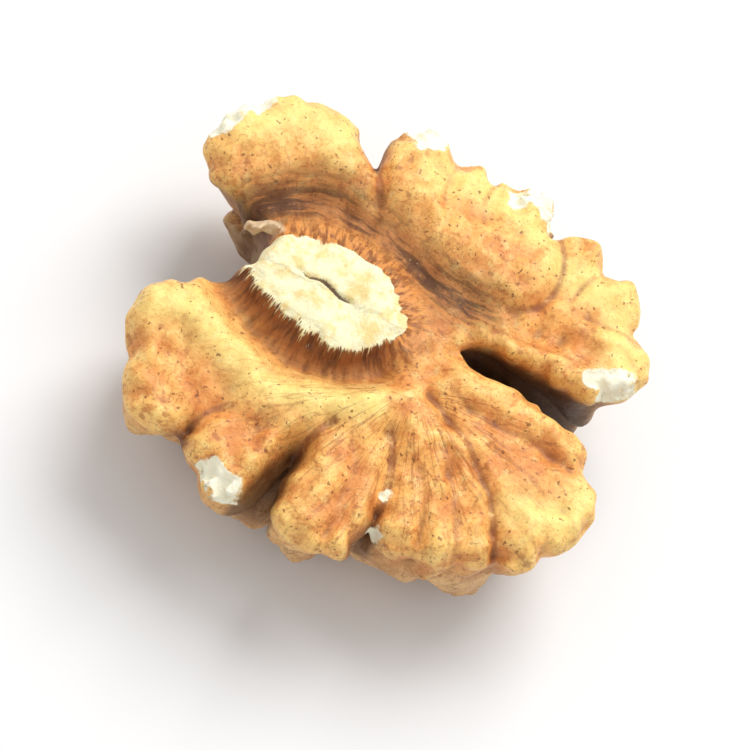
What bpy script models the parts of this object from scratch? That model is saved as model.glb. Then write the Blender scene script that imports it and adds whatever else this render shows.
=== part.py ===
"""A walnut kernel half, lying on its folded outer side with its inner face up.

The kernel is one grown piece: two wings that meet only in the middle, round a
broken neck of pale flesh. Its form is a field: a number for each cell of a
block of space, which is about the distance to the skin, negative inside. The
plate of the inner face, the core below it, the two clefts and the furrows of
the outer side are worked into the field one after another. The relief of the
inner face bends the space that they are made in. One skin is drawn where the
field is zero, and then thinned to few triangles.

Lengths are in millimetres, in the kernel's own plan: +X runs along the kernel
to the end with the long slot, +Y to the far wing, and +Z out of the inner face.
"""

from collections import namedtuple

import bmesh
import bpy
import numpy as np

MM = 0.001

# Driving sizes of the whole kernel
LENGTH = 33.4
WIDTH = 30.2
HEIGHT = 12.8

# How it rests: the lowest folds are squashed together, then cut level
BASE = 1.6
BASE_SQUASH = 0.4
FLAT_SPOT = 0.25

# The block of space, and the skin that is drawn through it
CELL = 0.32
SPACE_LOW = np.array([-12.6, -17.6, -14.6])
SPACE_HIGH = np.array([23.4, 14.8, 1.6])
FAR_AWAY = 3.0
VOXEL = 0.3
TRIANGLES = 10600

# A lobe of the rim: its wing, its centre and radius in plan, and how far its
# top droops below the inner face
Lobe = namedtuple("Lobe", "wing x y radius drop")
LOBES = (
    Lobe("far", -7.7, 6.4, 3.3, 0.3),
    Lobe("far", -6.4, 7.9, 2.9, 0.3),
    Lobe("far", -4.8, 8.2, 3.0, 0.4),
    Lobe("far", 1.7, 11.2, 1.75, 0.6),
    Lobe("far", 5.2, 10.9, 1.4, 0.8),
    Lobe("far", 7.8, 11.0, 1.35, 0.7),
    Lobe("far", 9.4, 10.7, 2.0, 0.6),
    Lobe("far", 14.1, 9.8, 1.5, 0.8),
    Lobe("far", 17.0, 8.1, 1.95, 0.7),
    Lobe("far", 18.7, 4.7, 2.4, 0.5),
    Lobe("near", 18.6, -2.3, 1.5, 0.8),
    Lobe("near", 19.3, -5.1, 2.75, 0.6),
    Lobe("near", 18.7, -8.1, 1.5, 0.8),
    Lobe("near", 16.2, -9.3, 1.4, 0.9),
    Lobe("near", 14.2, -10.3, 1.4, 0.8),
    Lobe("near", 11.6, -10.5, 1.6, 0.9),
    Lobe("near", 8.3, -12.4, 1.6, 1.0),
    Lobe("near", 6.0, -11.7, 2.75, 0.6),
    Lobe("near", 0.3, -12.4, 1.8, 1.0),
    Lobe("near", -1.4, -10.6, 2.2, 1.2),
    Lobe("near", -5.6, -9.2, 2.9, 1.7),
    Lobe("near", -6.9, -6.1, 3.1, 0.5),
)
LOBE_BLEND = 0.4

# The plate of each wing reaches out past its lobes' centres by a share of
# their radii, and in to the corners given here. Its edge is round
RIM_PUSH = 0.55
INNER_CORNERS = {
    "far": ((17.5, -1.0), (-5.0, -2.0)),
    "near": ((-5.0, 3.0), (17.5, 2.0)),
}
EDGE_RADIUS = 1.25
FACE_LEVEL = -0.15

# The wings' middle lines in plan, from the notch's end to the slot's end
SPINES = {
    "far": np.array([[-5.4, 6.0], [15.6, 5.4]]),
    "near": np.array([[-4.6, -6.6], [15.8, -5.8]]),
}
SPINE_ENDS = 0.04

# The two clefts that divide the wings: routes in plan and half widths there
SLOT_ROUTE = ((9.9, 0.9), (11.6, 1.2), (14.0, 1.15), (17.0, 0.95), (20.5, 0.6), (23.5, 0.4))
SLOT_HALF_WIDTH = (0.75, 1.15, 1.1, 1.25, 1.45, 1.6)
NOTCH_ROUTE = ((-13.0, 0.4), (-9.0, 0.6), (-6.6, 0.5), (-5.6, 1.9))
NOTCH_HALF_WIDTH = (3.6, 2.9, 2.2, 1.0)

# The neck, a lens of broken flesh with a cliff on its near side, a moat below
# the cliff, and a gentle flank on its far side
NECK_MIDDLE = (0.9, -0.25)
NECK_LEFT = 6.6
NECK_RIGHT = 5.0
NECK_HALF_WIDTH = 3.05
NECK_POWERS = (1.45, 2.3)
NECK_ROUNDING = 0.75
NECK_POINTS = 24
NECK_TOP = 0.28
NECK_EDGE_DROP = 0.25
NECK_EDGE_WIDTH = 0.5
NECK_CLIFF = 0.5
MOAT_DEPTH = 1.75
MOAT_OUT = 1.15
MOAT_WIDTH = 1.15
FLANK_TOP = 0.10
FLANK_SLOPE = 0.30
FLANK_REACH = 3.2
LAND_START = (0.2, 2.6)

# The line that parts the neck's near side from its far side and its right end.
# It curves towards the near wing, and one side fades into the other across it
PARTING_START = 3.0
PARTING_CURVE = 0.34
PARTING_POWER = 1.25
PARTING_FADE = (-1.3, 0.9)

# A furrow or a ridge of the inner face: its depth or height, its half width
# and its route in plan
Line = namedtuple("Line", "height half_width route")
FURROWS = (
    Line(
        1.15,
        1.25,
        ((-6.0, 3.2), (-2.8, 5.2), (0.6, 5.3), (4.2, 4.4), (8.6, 3.6), (12.2, 3.9), (14.5, 4.6)),
    ),
    Line(0.45, 0.45, ((12.0, 10.6), (13.1, 9.0), (13.4, 7.0), (12.9, 5.6), (11.2, 4.6))),
    Line(0.80, 0.60, ((-1.0, 10.8), (-0.6, 9.2), (0.3, 7.8), (0.9, 7.0))),
    Line(0.25, 0.50, ((4.2, 12.0), (4.0, 10.2), (4.4, 8.6))),
    Line(0.30, 0.50, ((7.0, 12.0), (6.7, 10.2), (7.3, 8.6))),
    Line(0.35, 0.50, ((15.9, 10.2), (15.0, 8.4), (14.6, 6.8))),
    Line(0.30, 0.55, ((19.8, 6.9), (17.8, 6.4), (15.8, 6.3))),
    Line(0.30, 0.60, ((11.0, 2.9), (14.0, 3.2), (17.4, 3.4))),
    Line(0.55, 0.40, ((17.6, -9.6), (15.6, -6.9), (13.4, -5.1), (11.4, -3.9), (9.2, -2.9))),
    Line(0.35, 0.45, ((19.4, -2.9), (16.6, -2.5), (14.2, -2.7), (12.2, -2.6), (10.2, -2.0))),
    Line(0.30, 0.45, ((15.3, -11.0), (13.6, -8.0), (11.6, -5.6))),
    Line(0.28, 0.45, ((12.9, -11.8), (12.3, -9.4), (10.9, -7.0))),
    Line(0.75, 0.55, ((9.9, -11.6), (9.7, -9.6), (9.2, -7.9), (8.2, -6.2))),
    Line(2.60, 0.62, ((2.5, -13.4), (2.9, -11.2), (3.4, -9.5))),
    Line(0.80, 0.80, ((3.2, -10.0), (3.9, -8.4), (4.6, -7.2))),
    Line(0.45, 0.70, ((-3.6, -12.6), (-3.2, -11.0), (-2.5, -9.8), (-1.6, -9.0))),
    Line(0.25, 0.60, ((7.3, -14.6), (7.4, -12.4), (7.0, -10.4))),
)
RIDGES = (
    Line(
        0.75,
        1.50,
        ((-8.6, -5.4), (-6.2, -5.2), (-3.4, -6.2), (-0.4, -7.2), (3.0, -6.6), (6.0, -5.4)),
    ),
    Line(0.35, 0.90, ((10.4, -1.3), (13.0, -1.4), (16.2, -1.6), (19.0, -2.0))),
    Line(0.45, 0.80, ((10.2, 2.6), (13.0, 2.95), (16.6, 2.9), (19.8, 3.4))),
    Line(0.45, 1.40, ((-8.8, 6.6), (-5.6, 8.2), (-3.2, 8.6))),
    Line(0.45, 1.60, ((2.0, 8.6), (5.4, 7.8), (8.8, 7.4), (11.4, 7.2))),
    Line(0.30, 0.90, ((14.6, 5.6), (17.2, 5.4), (19.4, 5.0))),
    Line(0.35, 1.00, ((4.8, -8.2), (6.0, -10.6), (6.2, -12.6))),
    Line(0.30, 0.90, ((9.2, -5.4), (12.2, -7.4), (13.8, -9.6))),
    Line(0.30, 1.00, ((12.4, -4.6), (15.8, -6.0), (18.6, -6.6))),
)
RELIEF_FADE = (-6.5, -2.6)
SOFTENING = 0.25

# A lobe's droop is felt out to this reach in plan, by radius and at least, and
# it weakens where the lobes' weights add up to less than the faintest one
DROOP_BY_RADIUS = 1.2
DROOP_REACH = 1.2
DROOP_FAINTEST = 0.35

# The core below the plate: its middle in plan, its depth, the power that
# shapes each side's wall, and the least share of the rim that its floor keeps
MIDDLE = np.array([5.3, -0.85])
DEPTH = 12.6
SQUARENESS = {"far": 2.4, "near": 3.4}
LEAST_SHARE = 0.3
LOBES_FADE = (0.25, 0.65)
RIM_SOFTENING = 1.5
CORE_TOP = -1.6
CORE_BLEND = 0.6
FLOOR_BLEND = 2.5
CLEFT_TAPER = 0.06
CLEFT_BLEND = 1.6

# Slow bends that keep the folds from lying straight, one seed for each axis
WANDER = 0.5
WANDER_LENGTH = 9.0
WANDER_SEEDS = (11, 12, 13)
WANDER_FADE = (-2.6, -6.0)

# The furrows of the outer side: the length of the waves that they follow,
# their seed, half the width of a roll between two furrows, and their depth
SULCUS_LENGTH = 8.0
SULCUS_SEED = 23
ROLL_HALF_WIDTH = 1.8
SULCUS_DEPTH = 1.7
SULCUS_FLOOR = 0.14
SULCUS_FADE = (-2.2, -5.5)
GLOBE_RADIUS = 13.0
LONGER = 1.2
NEAR_POLE = 0.01
LEAST_SLOPE = 0.6
WAVE_COUNT = 12

SKIN_COLOUR = (0.72, 0.46, 0.20, 1.0)


def smooth_step(value, start, end):
    """0 before start and 1 after end, with a smooth rise between them."""
    share = np.clip((value - start) / (end - start), 0, 1)
    return share * share * (3 - 2 * share)


def bell(distance, half_width):
    """1 where the distance is 0, falling smoothly to nearly 0 at two half widths."""
    return np.exp(-((distance / half_width) ** 2))


def blended(first, second, width):
    """The union of two fields, rounded over a width where they are about equal."""
    overlap = np.maximum(width - np.abs(first - second), 0) / width
    return np.minimum(first, second) - overlap * overlap * width / 4


def spline(route, spacing):
    """Points about a spacing apart on a Catmull-Rom curve through the route."""
    route = np.asarray(route, float)
    ends = np.vstack([2 * route[0] - route[1], route, 2 * route[-1] - route[-2]])
    points = []
    for p0, p1, p2, p3 in zip(ends, ends[1:], ends[2:], ends[3:]):
        count = max(2, round(np.linalg.norm(p2 - p1) / spacing))
        t = np.linspace(0, 1, count, endpoint=False)[:, None]
        bend = (2 * p0 - 5 * p1 + 4 * p2 - p3) * t**2
        twist = (3 * p1 - p0 - 3 * p2 + p3) * t**3
        points.append(p1 + (p2 - p0) * t / 2 + (bend + twist) / 2)
    return np.vstack([*points, route[-1:]])


def wave_field(coordinates, length, seed):
    """A smooth random field and its slope along each coordinate: a sum of
    plane waves of one length in all directions."""
    rng = np.random.default_rng(seed)
    heading = rng.normal(size=(WAVE_COUNT, len(coordinates)))
    heading *= 2 * np.pi / length / np.linalg.norm(heading, axis=1)[:, None]
    start = rng.uniform(0, 2 * np.pi, WAVE_COUNT)
    value = 0
    slope = [0] * len(coordinates)
    for turn, offset in zip(heading, start):
        phase = sum(axis * rate for axis, rate in zip(coordinates, turn)) + offset
        value = value + np.sin(phase)
        slope = [total + np.cos(phase) * rate for total, rate in zip(slope, turn)]
    scale = np.sqrt(2 / WAVE_COUNT)
    return value * scale, [total * scale for total in slope]


def segment_distance(x, y, start, end):
    """Distance in plan to a straight stretch, and how far along it the nearest
    place is, from 0 to 1."""
    along_x, along_y = end[0] - start[0], end[1] - start[1]
    share = ((x - start[0]) * along_x + (y - start[1]) * along_y) / (along_x**2 + along_y**2)
    share = np.clip(share, 0, 1)
    return np.hypot(x - start[0] - share * along_x, y - start[1] - share * along_y), share


def polygon_distance(x, y, corners):
    """Distance in plan to a polygon's edge, negative inside. A point is inside
    when a line from it to the right crosses an odd number of edges."""
    nearest = np.full(x.shape, np.inf)
    inside = np.zeros(x.shape, bool)
    for start, end in zip(corners, np.roll(corners, -1, axis=0)):
        nearest = np.minimum(nearest, segment_distance(x, y, start, end)[0])
        if start[1] != end[1]:
            edge_x = start[0] + (y - start[1]) * (end[0] - start[0]) / (end[1] - start[1])
            inside ^= ((start[1] > y) != (end[1] > y)) & (x < edge_x)
    return np.where(inside, -nearest, nearest)


def route_distance(x, y, route, half_widths=None):
    """Distance in plan to a smooth curve, or to a band along it whose half
    width is given at each of the route's points."""
    widths = np.zeros(len(route)) if half_widths is None else np.array(half_widths)
    curve = spline(np.column_stack([route, widths]), CELL)
    nearest = np.full(x.shape, np.inf)
    for start, end in zip(curve, curve[1:]):
        away, share = segment_distance(x, y, start, end)
        nearest = np.minimum(nearest, away - start[2] - share * (end[2] - start[2]))
    return nearest


def pushed_out(lobe):
    """A corner of the wing's plate: the lobe's centre, moved on from the
    wing's middle line by a share of the lobe's radius."""
    start, end = SPINES[lobe.wing]
    along = end - start
    centre = np.array([lobe.x, lobe.y])
    share = np.clip((centre - start) @ along / (along @ along), SPINE_ENDS, 1 - SPINE_ENDS)
    way = centre - start - along * share
    return centre + way * RIM_PUSH * lobe.radius / np.linalg.norm(way)


def rim_distance(x, y):
    """Distance in plan to the rim: the discs and the plates of both wings."""
    distance = np.full(x.shape, np.inf)
    for wing, inner in INNER_CORNERS.items():
        outer = [pushed_out(lobe) for lobe in LOBES if lobe.wing == wing]
        distance = np.minimum(distance, polygon_distance(x, y, np.array([*outer, *inner])))
    for lobe in LOBES:
        disc = np.hypot(x - lobe.x, y - lobe.y) - lobe.radius
        distance = blended(distance, disc, LOBE_BLEND)
    return distance


def neck_outline():
    """The neck's edge in plan: a lens, sharper at its left end. Its half width
    is the widest one times (1 - share ** power) ** NECK_ROUNDING, where share
    runs from 0 at the widest place to 1 at each end."""
    share = np.sin(np.linspace(0, np.pi / 2, NECK_POINTS))
    left, right = (NECK_HALF_WIDTH * (1 - share**power) ** NECK_ROUNDING for power in NECK_POWERS)
    upper_x = np.concatenate([-share[::-1] * NECK_LEFT, share[1:] * NECK_RIGHT])
    upper_y = np.concatenate([left[::-1], right[1:]])
    x = np.concatenate([upper_x, upper_x[-2:0:-1]]) + NECK_MIDDLE[0]
    y = np.concatenate([upper_y, -upper_y[-2:0:-1]]) + NECK_MIDDLE[1]
    return np.column_stack([x, y])


def height_of_lines(x, y, lines):
    """The sum of the lines' bells over the plan."""
    return sum(e.height * bell(route_distance(x, y, e.route), e.half_width) for e in lines)


def softened(height, reach):
    """The height spread over a reach in plan. Each round averages it with its
    neighbours and spreads it by the root of half a cell."""
    rounds = round(2 * (reach / CELL) ** 2)
    for _ in range(rounds):
        for axis in (0, 1):
            height = (np.roll(height, 1, axis) + 2 * height + np.roll(height, -1, axis)) / 4
    return height


def far_side(x, y):
    """0 beside the neck's near edge, 1 beside its far edge and right end."""
    parting = NECK_MIDDLE[1] - PARTING_CURVE * np.maximum(x - PARTING_START, 0) ** PARTING_POWER
    return smooth_step(y - parting, *PARTING_FADE)


def lobe_droop(x, y):
    """How far the face droops, an average of the lobes' own weighted by how near they are."""
    nearness = [
        bell(np.hypot(x - e.x, y - e.y), DROOP_BY_RADIUS * e.radius + DROOP_REACH) for e in LOBES
    ]
    total = sum(near * e.drop for near, e in zip(nearness, LOBES))
    return total / (sum(nearness) + DROOP_FAINTEST)


def face_relief(x, y):
    """Height above the face's level: the neck's top, its flanks, the moat,
    ridges, furrows, and the droop of the rim."""
    gap = polygon_distance(x, y, neck_outline())
    far = far_side(x, y)
    outside = smooth_step(gap, 0.0, NECK_CLIFF)
    moat = MOAT_DEPTH * bell(gap - MOAT_OUT, MOAT_WIDTH) * (1 - far)
    flank = (FLANK_TOP + FLANK_SLOPE * np.clip(gap, 0, FLANK_REACH)) * far
    flank = flank * bell(gap, FLANK_REACH)
    land = height_of_lines(x, y, RIDGES) - height_of_lines(x, y, FURROWS) - lobe_droop(x, y)
    land = softened(land * smooth_step(gap, *LAND_START), SOFTENING) - moat - flank
    crown = NECK_TOP - NECK_EDGE_DROP * bell(gap, NECK_EDGE_WIDTH)
    return crown * (1 - outside) + land * outside


def sampled(height, x, y):
    """A height over the plan, read straight between its cells at any places."""
    column = np.clip((x - SPACE_LOW[0]) / CELL, 0, height.shape[0] - 1)
    row = np.clip((y - SPACE_LOW[1]) / CELL, 0, height.shape[1] - 1)
    i = np.minimum(column.astype(int), height.shape[0] - 2)
    j = np.minimum(row.astype(int), height.shape[1] - 2)
    u, v = column - i, row - j
    before = height[i, j] * (1 - u) + height[i + 1, j] * u
    after = height[i, j + 1] * (1 - u) + height[i + 1, j + 1] * u
    return before * (1 - v) + after * v


def core_distance(x, y, z, rim):
    """About the distance to the core's wall. Its level at each depth is the
    rim's outline, shrunk towards the middle to a share of its size that is
    (1 - (depth / DEPTH) ** power) ** (1 / power). Every lobe runs on down the
    wall as a fold, and further down the outline is smoother."""
    near = smooth_step(y, MIDDLE[1] + 3, MIDDLE[1] - 3)
    power = SQUARENESS["far"] + (SQUARENESS["near"] - SQUARENESS["far"]) * near
    deep = np.clip(-z / DEPTH, 0, 1)
    share = np.maximum((1 - deep**power) ** (1 / power), LEAST_SHARE)
    full_x, full_y = MIDDLE[0] + (x - MIDDLE[0]) / share, MIDDLE[1] + (y - MIDDLE[1]) / share
    lobed, smooth = (sampled(edge, full_x, full_y) for edge in (rim, softened(rim, RIM_SOFTENING)))
    away = lobed + (smooth - lobed) * smooth_step(deep, *LOBES_FADE)
    return -blended(-away * share, z + DEPTH, FLOOR_BLEND)


def unrolled(x, y, z):
    """The outer side laid out flat round its lowest point, as a globe is on a
    map of a pole: the direction in plan is kept, and the distance is the angle
    from straight down times a radius."""
    across, along = y - MIDDLE[1], (x - MIDDLE[0]) / LONGER
    out = np.hypot(along, across) + NEAR_POLE
    stretch = GLOBE_RADIUS * np.arctan2(out, -z) / out
    return along * stretch, across * stretch


def sulcus_depth(x, y, z):
    """Depth of the furrows of the outer side. They run where a field of waves
    is zero, and its value over its slope is the distance to such a line. A
    roll's back is an arc, so the skin drops along a quarter of a circle."""
    value, slope = wave_field(unrolled(x, y, z), SULCUS_LENGTH, SULCUS_SEED)
    away = value / (np.hypot(*slope) + SULCUS_FLOOR / 2)
    away = np.hypot(away, SULCUS_FLOOR)
    share = 1 - np.minimum(away, ROLL_HALF_WIDTH) / ROLL_HALF_WIDTH
    return SULCUS_DEPTH * (1 - np.sqrt(1 - share * share)) * smooth_step(z, *SULCUS_FADE)


def kernel_field():
    """The field of the whole kernel."""
    axes = [np.arange(low, high, CELL) for low, high in zip(SPACE_LOW, SPACE_HIGH)]
    plan_x, plan_y = np.meshgrid(*axes[:2], indexing="ij")
    x, y, z = np.meshgrid(*axes, indexing="ij")
    fade = WANDER * smooth_step(z, *WANDER_FADE)
    shift = [wave_field((x, y, z), WANDER_LENGTH, seed)[0] * fade for seed in WANDER_SEEDS]
    relief = face_relief(plan_x, plan_y)[:, :, None] * smooth_step(z, *RELIEF_FADE)
    x, y, z = x - shift[0], y - shift[1], z - shift[2] - relief

    rim = rim_distance(plan_x, plan_y)
    slot = route_distance(plan_x, plan_y, SLOT_ROUTE, SLOT_HALF_WIDTH)
    notch = route_distance(plan_x, plan_y, NOTCH_ROUTE, NOTCH_HALF_WIDTH)
    outline = -blended(-rim, slot, LOBE_BLEND)
    outline = -blended(-outline, notch, LOBE_BLEND)
    edge = np.maximum(outline + EDGE_RADIUS, 0)[:, :, None]
    plate = np.hypot(edge, z - FACE_LEVEL + EDGE_RADIUS) - EDGE_RADIUS

    cleft = np.minimum(slot, notch)[:, :, None] - CLEFT_TAPER * z
    core = np.maximum(core_distance(x, y, z, rim), z - CORE_TOP)
    core = -blended(-core, cleft, CLEFT_BLEND)
    field = blended(plate, core, CORE_BLEND)

    slope = np.sqrt(sum(rise**2 for rise in np.gradient(field, CELL)))
    field = np.clip(field / np.maximum(slope, LEAST_SLOPE), -FAR_AWAY, FAR_AWAY)
    return field + sulcus_depth(x, y, z)


def skin_of(field):
    """Points and four-sided faces of the skin where a field is zero. Each cell
    that the skin passes through has one point, the average of the places where
    the skin crosses the cell's edges. Each crossed edge has one face, between
    the points of the four cells round it."""
    total = np.zeros((field.size, 3))
    crossings = np.zeros(field.size)
    faces = []
    for axis in range(3):
        second, third = (axis + 1) % 3, (axis + 2) % 3
        after = np.roll(field, -1, axis)
        crossed = (field < 0) != (after < 0)
        places = np.argwhere(crossed)
        points = places.astype(float)
        points[:, axis] += field[crossed] / (field[crossed] - after[crossed])
        ring = []
        for back_second, back_third in ((0, 0), (1, 0), (1, 1), (0, 1)):
            cells = places.copy()
            cells[:, second] -= back_second
            cells[:, third] -= back_third
            number = np.ravel_multi_index(cells.T, field.shape)
            np.add.at(total, number, points)
            np.add.at(crossings, number, 1)
            ring.append(number)
        ring = np.column_stack(ring)
        inwards = after[crossed] < 0
        ring[inwards] = ring[inwards, ::-1]
        faces.append(ring)
    used = crossings > 0
    points = total[used] / crossings[used, None] * CELL + SPACE_LOW
    return points, (np.cumsum(used) - 1)[np.vstack(faces)]


def new_object(name, mesh):
    obj = bpy.data.objects.new(name, mesh)
    bpy.context.scene.collection.objects.link(obj)
    return obj


def baked(obj):
    """A copy of the object's mesh with its modifiers applied, the object gone."""
    bpy.context.view_layer.update()
    graph = bpy.context.evaluated_depsgraph_get()
    mesh = bpy.data.meshes.new_from_object(obj.evaluated_get(graph))
    bpy.data.objects.remove(obj)
    return mesh


def keep_largest(mesh):
    """Removes pockets that the skin sealed inside itself."""
    bm = bmesh.new()
    bm.from_mesh(mesh)
    unseen = set(bm.verts)
    shells = []
    while unseen:
        shell = {unseen.pop()}
        edge = list(shell)
        while edge:
            reached = {e.other_vert(v) for v in edge for e in v.link_edges}
            edge = list(reached & unseen)
            unseen.difference_update(edge)
            shell.update(edge)
        shells.append(shell)
    shells.sort(key=len)
    scraps = [v for shell in shells[:-1] for v in shell]
    bmesh.ops.delete(bm, geom=scraps, context="VERTS")
    bm.to_mesh(mesh)
    bm.free()


def one_skin(points, faces):
    """The skin as one closed mesh that nowhere touches itself."""
    mesh = bpy.data.meshes.new("drawn")
    mesh.from_pydata((points * MM).tolist(), [], faces.tolist())
    obj = new_object("skin", mesh)
    remesh = obj.modifiers.new("close", "REMESH")
    remesh.mode = "VOXEL"
    remesh.voxel_size = VOXEL * MM
    mesh = baked(obj)
    keep_largest(mesh)
    return mesh


def thinned(mesh):
    """The skin with no more triangles than the part may have."""
    skin = new_object("skin", mesh)
    skin.modifiers.new("triangles", "TRIANGULATE")
    thin = skin.modifiers.new("thin", "DECIMATE")
    mesh.calc_loop_triangles()
    thin.ratio = TRIANGLES / len(mesh.loop_triangles)
    return baked(skin)


def set_down(mesh):
    """Squashes the lowest folds, fits the kernel to its size over the origin,
    and rests it on small flat spots at height 0."""
    points = np.empty(len(mesh.vertices) * 3)
    mesh.vertices.foreach_get("co", points)
    points = points.reshape(-1, 3) / MM
    over_base = points[:, 2] - points[:, 2].min() - BASE
    points[:, 2] = np.where(over_base < 0, over_base * BASE_SQUASH, over_base)
    low, high = points.min(axis=0), points.max(axis=0)
    size = np.array([LENGTH, WIDTH, HEIGHT + FLAT_SPOT])
    points = (points - (low + high) / 2) / (high - low) * size
    points[:, 2] += HEIGHT / 2 - FLAT_SPOT / 2
    points[:, 2] = np.maximum(points[:, 2], 0)
    mesh.vertices.foreach_set("co", (points * MM).ravel())
    mesh.update()


def skin_material():
    material = bpy.data.materials.new("walnut_skin")
    material.use_nodes = True
    shader = material.node_tree.nodes["Principled BSDF"]
    shader.inputs["Base Color"].default_value = SKIN_COLOUR
    shader.inputs["Roughness"].default_value = 0.5
    shader.inputs["Metallic"].default_value = 0.0
    return material


def main():
    for obj in list(bpy.data.objects):
        bpy.data.objects.remove(obj)
    mesh = thinned(one_skin(*skin_of(kernel_field())))
    set_down(mesh)
    mesh.name = "kernel"
    mesh.shade_smooth()
    kernel = new_object("kernel", mesh)
    kernel.data.materials.append(skin_material())


main()
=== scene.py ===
# %% [markdown]
# # Half a walnut kernel
#
# A walnut kernel grows as one piece of flesh inside its shell. When the shell is cracked, the
# kernel often breaks into two halves. This is one of them, lying on its folded outer side with
# its inner face up. The inner face shows two wings that meet only in the middle, round the
# broken neck that joined this half to the other.
#
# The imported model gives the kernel's size and place. It is loaded first and never changed. The
# kernel's own box is kept, because the fine surface made here has to fill it exactly.

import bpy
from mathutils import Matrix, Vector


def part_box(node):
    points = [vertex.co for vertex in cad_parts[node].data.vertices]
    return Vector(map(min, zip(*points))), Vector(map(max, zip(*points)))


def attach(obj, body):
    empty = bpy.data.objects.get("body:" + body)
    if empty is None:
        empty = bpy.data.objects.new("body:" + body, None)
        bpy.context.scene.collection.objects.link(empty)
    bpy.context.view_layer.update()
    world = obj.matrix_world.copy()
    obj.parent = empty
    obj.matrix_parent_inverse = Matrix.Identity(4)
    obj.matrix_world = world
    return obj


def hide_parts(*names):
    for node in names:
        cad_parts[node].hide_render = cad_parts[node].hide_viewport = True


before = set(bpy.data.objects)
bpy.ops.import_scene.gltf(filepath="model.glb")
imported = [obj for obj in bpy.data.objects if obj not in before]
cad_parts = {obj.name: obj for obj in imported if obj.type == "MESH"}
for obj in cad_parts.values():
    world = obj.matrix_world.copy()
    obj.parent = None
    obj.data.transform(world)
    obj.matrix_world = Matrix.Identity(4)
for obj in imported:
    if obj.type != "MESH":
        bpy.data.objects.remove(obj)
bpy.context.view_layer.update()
box_low, box_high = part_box("kernel")
print("the kernel is", [round((high - low) * 1000, 1) for low, high in zip(box_low, box_high)], "mm")

# %% Modules
from collections import namedtuple

import bpy
import numpy as np
import openvdb
from mathutils import Quaternion, Vector

print("Blender", bpy.app.version_string, "and numpy", np.__version__)

# %% [markdown]
# ## A block of space
#
# The kernel's skin is folded so deeply that no sheet or tube could be bent into it. A sculptor
# would model it in clay. Here the clay is a field: a number for every cell of a block of space,
# which is the distance to the skin, negative inside. Forms are added to the field one after
# another, and where two meet, a blend of chosen width makes a crisp furrow or a soft valley.
# At the end one skin is drawn where the field is zero.
#
# Lengths are in millimetres in the kernel's own plan: +X runs along the kernel to the end with
# the long slot, +Y to the far wing, and +Z out of the inner face.

# %% The block
MM = 0.001
CELL = 0.16
SPACE_LOW = np.array([-12.6, -17.6, -14.6])
SPACE_HIGH = np.array([23.4, 14.8, 1.6])
FAR_AWAY = 3.0

axes = [np.arange(low, high, CELL) for low, high in zip(SPACE_LOW, SPACE_HIGH)]
plan_x, plan_y = np.meshgrid(*axes[:2], indexing="ij")
print("the block has", len(axes[0]) * len(axes[1]) * len(axes[2]), "cells of", CELL, "mm")

# %% Smooth shapes


def smooth_step(value, start, end):
    """0 before start and 1 after end, with a smooth rise between them."""
    share = np.clip((value - start) / (end - start), 0, 1)
    return share * share * (3 - 2 * share)


def bell(distance, half_width):
    """1 where the distance is 0, falling smoothly to nearly 0 at two half widths."""
    return np.exp(-((distance / half_width) ** 2))


def blended(first, second, width):
    """The union of two fields, rounded over a width where they are about equal."""
    overlap = np.maximum(width - np.abs(first - second), 0) / width
    return np.minimum(first, second) - overlap * overlap * width / 4


def spline(route, spacing):
    """Points about a spacing apart on a smooth curve through the route's points. At each of
    them the curve heads along the line between its two neighbours."""
    route = np.asarray(route, float)
    ends = np.vstack([2 * route[0] - route[1], route, 2 * route[-1] - route[-2]])
    points = []
    for p0, p1, p2, p3 in zip(ends, ends[1:], ends[2:], ends[3:]):
        count = max(2, round(np.linalg.norm(p2 - p1) / spacing))
        t = np.linspace(0, 1, count, endpoint=False)[:, None]
        bend = (2 * p0 - 5 * p1 + 4 * p2 - p3) * t**2
        twist = (3 * p1 - p0 - 3 * p2 + p3) * t**3
        points.append(p1 + (p2 - p0) * t / 2 + (bend + twist) / 2)
    return np.vstack([*points, route[-1:]])


half_share = float(smooth_step(np.array(0.5), 0, 1))
print("halfway up a smooth step the share is", half_share)

# %% Random waves
WAVE_COUNT = 12
WAVE_SIZE = np.sqrt(2 / WAVE_COUNT)


def plane_waves(coordinates, length, seed):
    """Plane waves of one length in random directions, one after another: a wave's phase at
    every place, and its rate along each coordinate."""
    rng = np.random.default_rng(seed)
    heading = rng.normal(size=(WAVE_COUNT, len(coordinates)))
    heading *= 2 * np.pi / length / np.linalg.norm(heading, axis=1)[:, None]
    start = rng.uniform(0, 2 * np.pi, WAVE_COUNT)
    for turn, offset in zip(heading, start):
        yield sum(axis * rate for axis, rate in zip(coordinates, turn)) + offset, turn


def waves(coordinates, length, seed):
    """A smooth random field: the sum of the waves' sines."""
    return sum(np.sin(phase) for phase, _ in plane_waves(coordinates, length, seed)) * WAVE_SIZE


def slope_of_waves(coordinates, length, seed):
    """The field's slope along each coordinate: the sum of the waves' cosines times their rates."""
    slope = [0] * len(coordinates)
    for phase, turn in plane_waves(coordinates, length, seed):
        rise = np.cos(phase)
        slope = [total + rise * rate for total, rate in zip(slope, turn)]
    return [total * WAVE_SIZE for total in slope]


def ripples(coordinates, sets):
    """The sum of several fields of waves, each given as its length, its seed and its size."""
    return sum(size * waves(coordinates, length, seed) for length, seed, size in sets)


print("a field of waves mostly stays within", round(float(2 * waves((plan_x, plan_y), 5.0, 1).std()), 1))

# %% [markdown]
# ## The inner face in plan
#
# Seen from above, each wing is a fan of lobes round its rim. A lobe is a disc here, and a
# polygon joins the discs to the wing's middle. Their union is the rim. The slot and the notch
# are cut out of it.

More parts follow.
